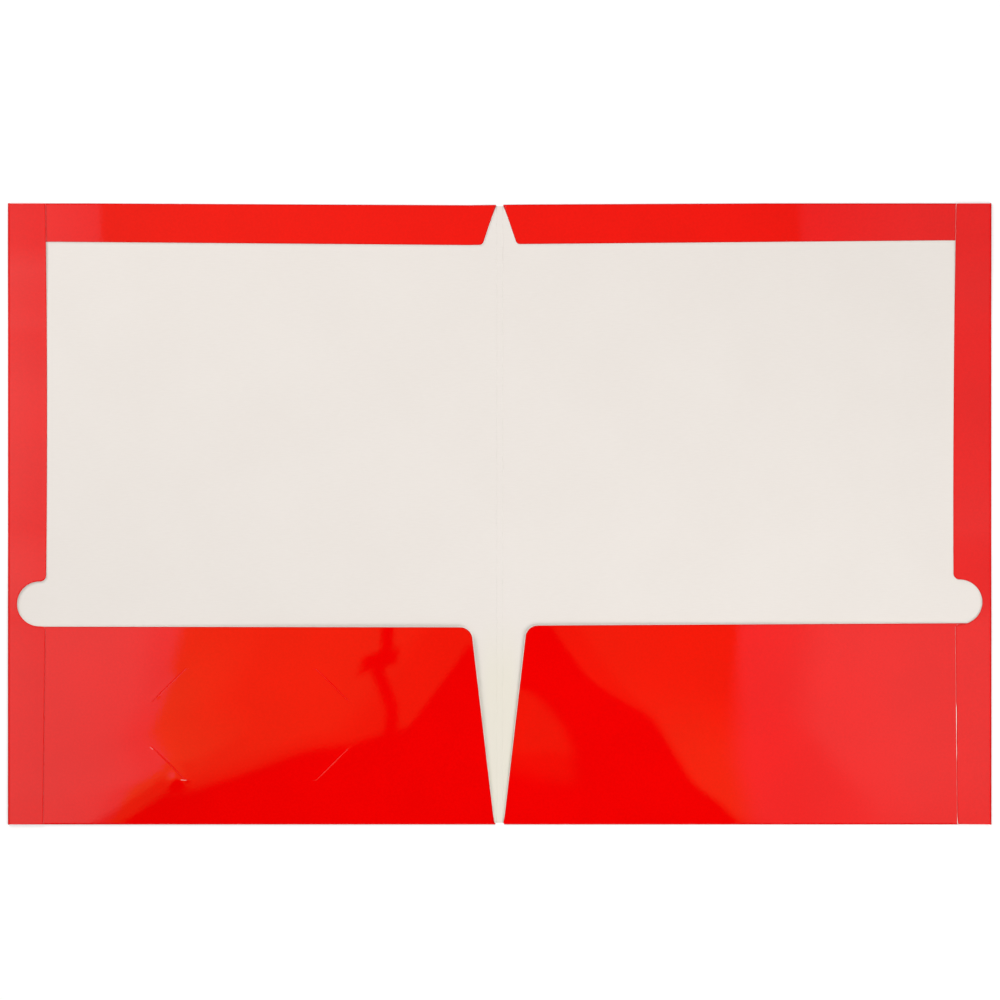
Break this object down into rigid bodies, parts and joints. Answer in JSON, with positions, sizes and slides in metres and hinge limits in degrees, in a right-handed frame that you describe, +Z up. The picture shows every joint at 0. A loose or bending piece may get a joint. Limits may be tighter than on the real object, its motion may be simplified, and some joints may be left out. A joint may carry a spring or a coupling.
{
  "type": "two pocket folder",
  "caption": "Open presentation folder of glossy red board with off-white inside: folded top and side flaps, bottom pockets, card slits and a scored spine that folds shut.",
  "frame": {"origin": "middle of the spine on the underside of the open folder, where it lies on the table", "axes": "+X across the open folder towards the back half, +Y up its height towards the top flaps, +Z up from the table towards the inside faces"},
  "size_m": [0.4826, 0.3048, 0.0016],
  "materials": {
    "red_board": "gloss",
    "plain_board": "matte",
    "glue": "satin"
  },
  "bodies": {
    "back_half": {"back_cover": "plain_board", "back_top_fold": "red_board", "back_top_flap": "red_board", "back_side_fold": "red_board", "back_side_flap": "red_board", "back_pocket_tab": "red_board", "back_bottom_fold": "red_board", "back_pocket": "red_board", "back_top_glue": "glue", "back_side_glue": "glue", "back_corner_glue": "glue", "back_pocket_glue": "glue"},
    "spine_strip": {"spine": "plain_board", "front_score": "plain_board", "back_score": "plain_board"},
    "front_half": {"front_cover": "plain_board", "front_top_fold": "red_board", "front_top_flap": "red_board", "front_side_fold": "red_board", "front_side_flap": "red_board", "front_pocket_tab": "red_board", "front_bottom_fold": "red_board", "front_pocket": "red_board", "front_top_glue": "glue", "front_side_glue": "glue", "front_corner_glue": "glue", "front_pocket_glue": "glue"}
  },
  "joints": [
    {"name": "back_score_hinge", "type": "hinge", "parent": "back_half", "child": "spine_strip", "pos_m": [0.0015, 0, 0.0002], "axis": [0, 1, 0], "range_deg": [0, 90]},
    {"name": "front_score_hinge", "type": "hinge", "parent": "spine_strip", "child": "front_half", "pos_m": [-0.0015, 0, 0.0002], "axis": [0, 1, 0], "range_deg": [0, 90]}
  ]
}
